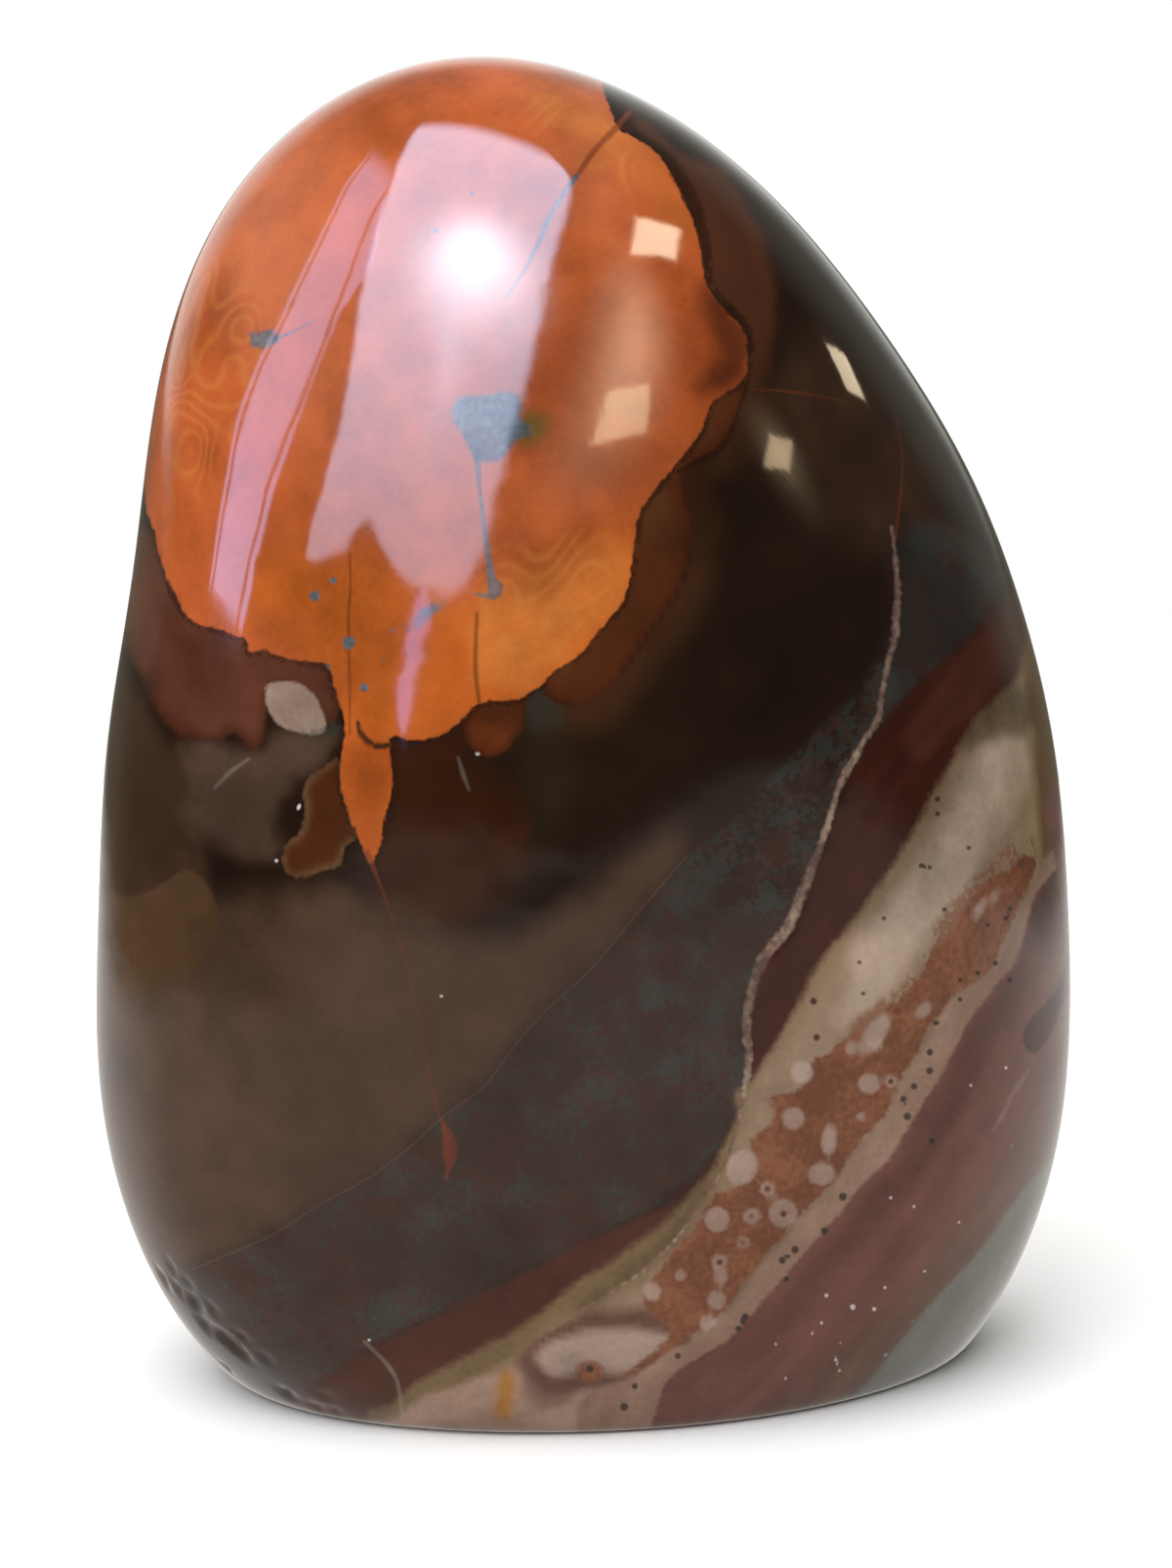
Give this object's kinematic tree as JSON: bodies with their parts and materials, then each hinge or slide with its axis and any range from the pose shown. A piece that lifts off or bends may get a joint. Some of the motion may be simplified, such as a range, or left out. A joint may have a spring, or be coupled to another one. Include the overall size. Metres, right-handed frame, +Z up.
{
  "type": "polished jasper freeform stone",
  "caption": "Self-standing polished freeform of banded jasper: a leaning rounded cone with an orange cap, diagonal bands and a flat ground base.",
  "frame": {"origin": "on the flat ground base, under the middle of the stone", "axes": "+Z up, +X to the right of the side with the orange cap, which faces -Y"},
  "size_m": [0.0852, 0.0622, 0.1159],
  "materials": {
    "jasper": "polished"
  },
  "bodies": {
    "root": {"stone": "jasper"}
  },
  "joints": []
}
